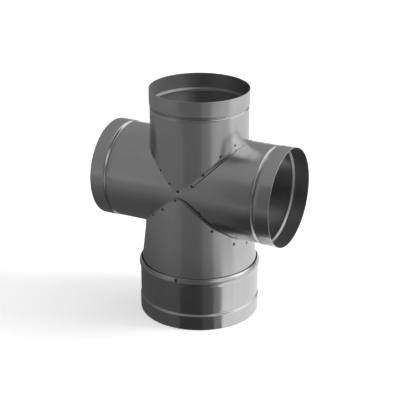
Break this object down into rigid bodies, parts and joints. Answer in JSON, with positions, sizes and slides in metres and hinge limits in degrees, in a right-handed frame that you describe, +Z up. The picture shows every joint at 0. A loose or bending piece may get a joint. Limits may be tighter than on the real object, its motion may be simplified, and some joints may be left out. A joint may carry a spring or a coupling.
{
  "type": "reducing duct cross",
  "caption": "Sheet-steel duct cross: a straight run with a top branch and a tapered trunk that widens into a larger bottom socket, each mouth a grooved pipe socket.",
  "frame": {"origin": "centre of the bottom socket's mouth, on the plane of its rim", "axes": "+Z up along the trunk and the top branch, +X along the run through both side arms, +Y towards the back"},
  "size_m": [0.26, 0.1632, 0.312],
  "materials": {
    "stainless_sheet": "satin rolled stainless sheet"
  },
  "bodies": {
    "root": {"run_tube": "stainless_sheet", "top_branch": "stainless_sheet", "reducer_cone": "stainless_sheet", "trunk_socket": "stainless_sheet"}
  },
  "joints": []
}
